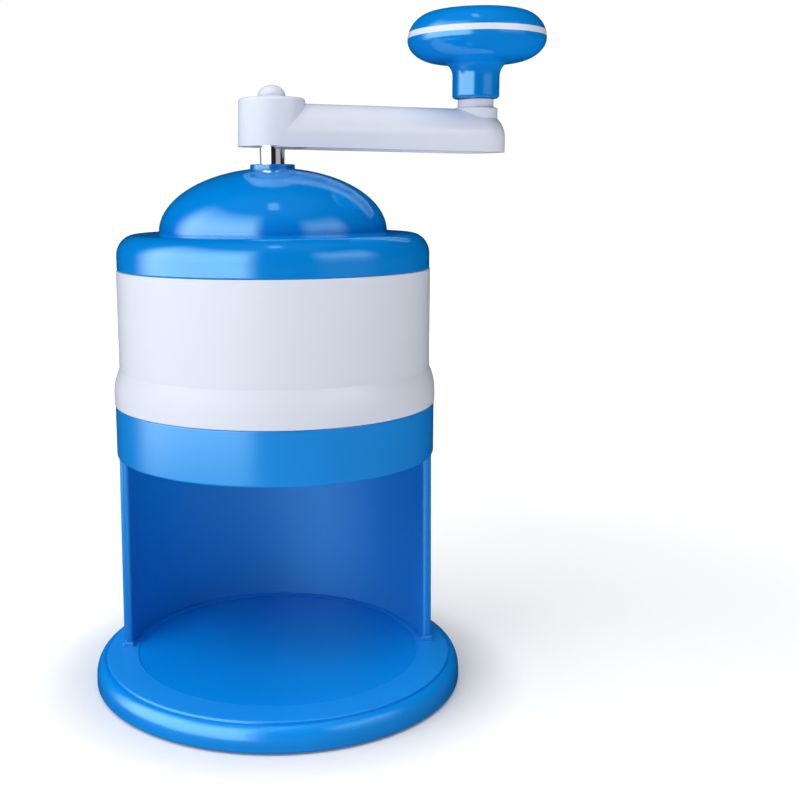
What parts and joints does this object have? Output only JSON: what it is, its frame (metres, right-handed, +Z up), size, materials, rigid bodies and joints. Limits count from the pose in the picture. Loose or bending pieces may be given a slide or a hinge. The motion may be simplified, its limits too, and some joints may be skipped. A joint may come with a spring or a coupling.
{
  "type": "shaved ice machine",
  "caption": "Hand-cranked ice shaver: round base, half-round column open in front, lift-out ice cup with blade floor, domed lid, and a crank with a mushroom knob.",
  "frame": {"origin": "on the spindle's axis, at the surface the foot ring stands on", "axes": "+Z up along the spindle, -Y towards the open front of the serving bay, +X to the right when facing the front"},
  "size_m": [0.1639, 0.132, 0.2372],
  "materials": {
    "blue_plastic": "glossy moulded",
    "white_plastic": "satin gloss moulded",
    "presser_plastic": "moulded",
    "nylon": "natural nylon",
    "rubber": "matt",
    "polished_steel": "polished",
    "steel_sheet": "brushed",
    "steel_hardware": "bright plated"
  },
  "bodies": {
    "stand": {"base_shell": "blue_plastic", "foot_ring": "rubber", "stand_column": "blue_plastic", "column_screws": "steel_hardware", "column_washers": "steel_hardware"},
    "hopper": {"hopper_shell": "white_plastic", "blade_plate": "steel_sheet", "plate_screws": "steel_hardware", "blade": "steel_sheet", "blade_screws": "steel_hardware", "blade_nuts": "steel_hardware"},
    "lid_bush": {"spindle_bush": "nylon", "bush_clip": "steel_hardware"},
    "lid": {"lid_shell": "blue_plastic"},
    "feed": {"thrust_washer": "steel_hardware", "feed_spring": "steel_hardware"},
    "crank": {"spindle": "polished_steel", "spindle_clip": "steel_hardware", "presser_plate": "presser_plastic", "presser_spikes": "steel_hardware", "drive_pin": "steel_hardware", "crank_arm": "white_plastic", "crank_washer": "steel_hardware", "crank_screw": "steel_hardware", "crank_cap": "white_plastic", "knob_pin": "steel_hardware", "knob_clip": "steel_hardware"},
    "knob": {"knob_body": "blue_plastic", "knob_band": "white_plastic", "knob_cap": "blue_plastic"}
  },
  "joints": [
    {"name": "hopper_lift", "type": "slide", "parent": "stand", "child": "hopper", "axis": [0, 0, 1], "range_m": [0, 0.03]},
    {"name": "lid_lift", "type": "slide", "parent": "hopper", "child": "lid_bush", "axis": [0, 0, 1], "range_m": [0, 0.055]},
    {"name": "lid_twist", "type": "hinge", "parent": "lid_bush", "child": "lid", "pos_m": [0, 0, 0.15], "axis": [0, 0, -1], "range_deg": [0, 30]},
    {"name": "feed_slide", "type": "slide", "parent": "lid_bush", "child": "feed", "axis": [0, 0, 1], "range_m": [0, 0.04], "stiffness_N_per_m": 60, "springref_m": -0.04, "deforming": ["feed_spring"]},
    {"name": "crank_spin", "type": "hinge", "parent": "feed", "child": "crank", "pos_m": [0, 0, 0.19], "axis": [0, 0, -1], "continuous": true},
    {"name": "knob_spin", "type": "hinge", "parent": "crank", "child": "knob", "pos_m": [0.07331, 0.01964, 0.215], "axis": [0, 0, 1], "continuous": true}
  ]
}
